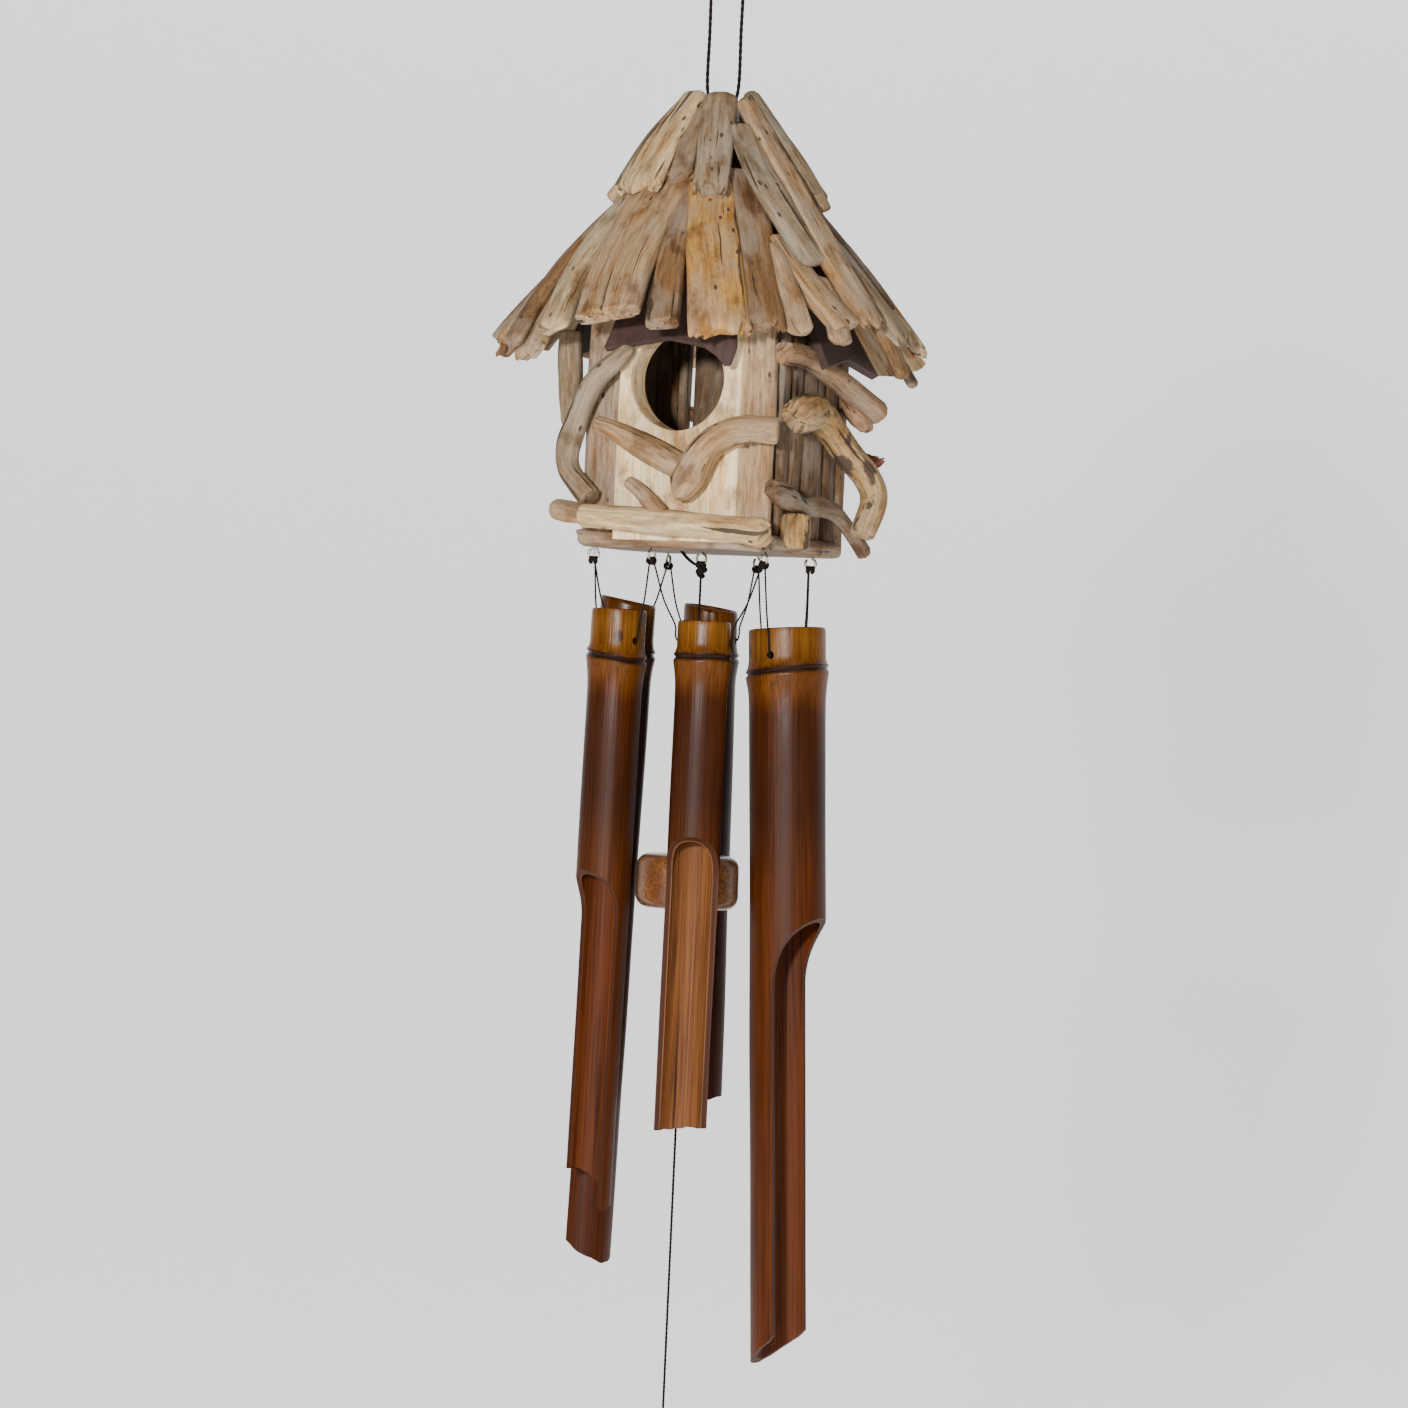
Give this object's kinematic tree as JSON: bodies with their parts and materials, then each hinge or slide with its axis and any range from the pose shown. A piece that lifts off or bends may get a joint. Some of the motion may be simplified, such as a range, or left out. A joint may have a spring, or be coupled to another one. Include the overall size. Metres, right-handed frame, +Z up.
{
  "type": "wind chime",
  "caption": "Driftwood bird-house wind chime: a shingled house on a cord, with lacquered bamboo half pipes hung under it round a wooden clapper.",
  "frame": {"origin": "top of the hanging ring's hole, where a hook bears", "axes": "+Z up, -Y out of the house's front, +X to the right seen from the front"},
  "size_m": [0.2219, 0.2187, 0.8177],
  "materials": {
    "driftwood": "weathered, matte, fine grain",
    "slats": "weathered grey-brown, matte",
    "pale_board": "fine vertical grain, sanded",
    "brown_board": "dark red-brown, matte",
    "bamboo": "clear lacquer, glossy",
    "clapper_wood": "clear lacquer, satin",
    "steel": "nickel plated wire",
    "twine": "waxed twisted cord"
  },
  "bodies": {
    "ring": {"hanging_ring": "steel"},
    "cord": {"hanging_cord": "twine", "hanging_knot": "twine"},
    "house": {"roof_board_front": "brown_board", "roof_board_right": "brown_board", "roof_board_back": "brown_board", "roof_board_left": "brown_board", "upper_shingles_right": "driftwood", "upper_shingles_back": "driftwood", "upper_shingles_left": "driftwood", "upper_shingles_front": "driftwood", "lower_shingles_right": "driftwood", "lower_shingles_back_right": "driftwood", "lower_shingles_back_left": "driftwood", "lower_shingles_left": "driftwood", "lower_shingles_front_left": "driftwood", "lower_shingles_front_right": "driftwood", "front_slat_left": "slats", "front_slat_right": "slats", "right_slat_1": "slats", "right_slat_2": "slats", "right_slat_3": "slats", "left_slat_1": "slats", "left_slat_2": "slats", "back_slat_1": "slats", "back_slat_2": "slats", "back_slat_3": "slats", "front_plate": "pale_board", "floor_board": "slats", "branch_left": "driftwood", "branch_front": "driftwood", "perch": "driftwood", "branch_right_top": "driftwood", "branch_right_middle": "driftwood", "branch_right_bottom": "driftwood", "screw_eye_front_left": "steel", "screw_eye_front": "steel", "screw_eye_front_right": "steel", "screw_eye_back_right": "steel", "screw_eye_back": "steel", "screw_eye_back_left": "steel", "screw_eye_centre": "steel"},
    "front_left_pipe": {"pipe_front_left": "bamboo", "sling_front_left": "twine"},
    "front_middle_pipe": {"pipe_front_middle": "bamboo", "sling_front_middle": "twine"},
    "right_pipe": {"pipe_right": "bamboo", "sling_right": "twine"},
    "back_right_pipe": {"pipe_back_right": "bamboo", "sling_back_right": "twine"},
    "back_middle_pipe": {"pipe_back_middle": "bamboo", "sling_back_middle": "twine"},
    "back_left_pipe": {"pipe_back_left": "bamboo", "sling_back_left": "twine"},
    "clapper_hitch": {"centre_knot": "twine"},
    "clapper": {"clapper_cord": "twine", "clapper": "clapper_wood"},
    "tail_hitch": {"tail_knot": "twine"},
    "tail": {"tail_cord": "twine", "wind_catcher": "clapper_wood"}
  },
  "joints": [
    {"name": "cord_swing", "type": "hinge", "parent": "ring", "child": "cord", "pos_m": [0, 0, -0.0157], "axis": [0, 1, 0], "range_deg": [-15, 15]},
    {"name": "house_swing", "type": "hinge", "parent": "cord", "child": "house", "pos_m": [0, 0, -0.1127], "axis": [1, 0, 0], "range_deg": [-8, 8]},
    {"name": "front_left_pipe_swing", "type": "hinge", "parent": "house", "child": "front_left_pipe", "pos_m": [-0.027, -0.035, -0.3217], "axis": [-0.9285, 0.3714, 0], "range_deg": [-0.5, 25]},
    {"name": "front_middle_pipe_swing", "type": "hinge", "parent": "house", "child": "front_middle_pipe", "pos_m": [0.02, -0.0355, -0.3217], "axis": [-0.9635, -0.2676, 0], "range_deg": [-0.5, 25]},
    {"name": "right_pipe_swing", "type": "hinge", "parent": "house", "child": "right_pipe", "pos_m": [0.048, -0.002, -0.3217], "axis": [-0.0384, -0.9993, 0], "range_deg": [-0.5, 25]},
    {"name": "back_right_pipe_swing", "type": "hinge", "parent": "house", "child": "back_right_pipe", "pos_m": [0.0305, 0.0325, -0.3217], "axis": [0.9087, -0.4175, 0], "range_deg": [-0.5, 25]},
    {"name": "back_middle_pipe_swing", "type": "hinge", "parent": "house", "child": "back_middle_pipe", "pos_m": [-0.011, 0.037, -0.3217], "axis": [0.9852, 0.1713, 0], "range_deg": [-0.5, 25]},
    {"name": "back_left_pipe_swing", "type": "hinge", "parent": "house", "child": "back_left_pipe", "pos_m": [-0.0405, 0.003, -0.3217], "axis": [0.2118, 0.9773, 0], "range_deg": [-0.5, 25]},
    {"name": "clapper_swing_front", "type": "hinge", "parent": "house", "child": "clapper_hitch", "pos_m": [0, 0, -0.3217], "axis": [1, 0, 0], "range_deg": [-0.8, 0.8]},
    {"name": "clapper_swing_side", "type": "hinge", "parent": "clapper_hitch", "child": "clapper", "pos_m": [0, 0, -0.3217], "axis": [0, 1, 0], "range_deg": [-0.8, 0.8]},
    {"name": "tail_swing_front", "type": "hinge", "parent": "clapper", "child": "tail_hitch", "pos_m": [0, 0, -0.4925], "axis": [1, 0, 0], "range_deg": [-4, 4]},
    {"name": "tail_swing_side", "type": "hinge", "parent": "tail_hitch", "child": "tail", "pos_m": [0, 0, -0.4925], "axis": [0, 1, 0], "range_deg": [-4, 4]}
  ]
}
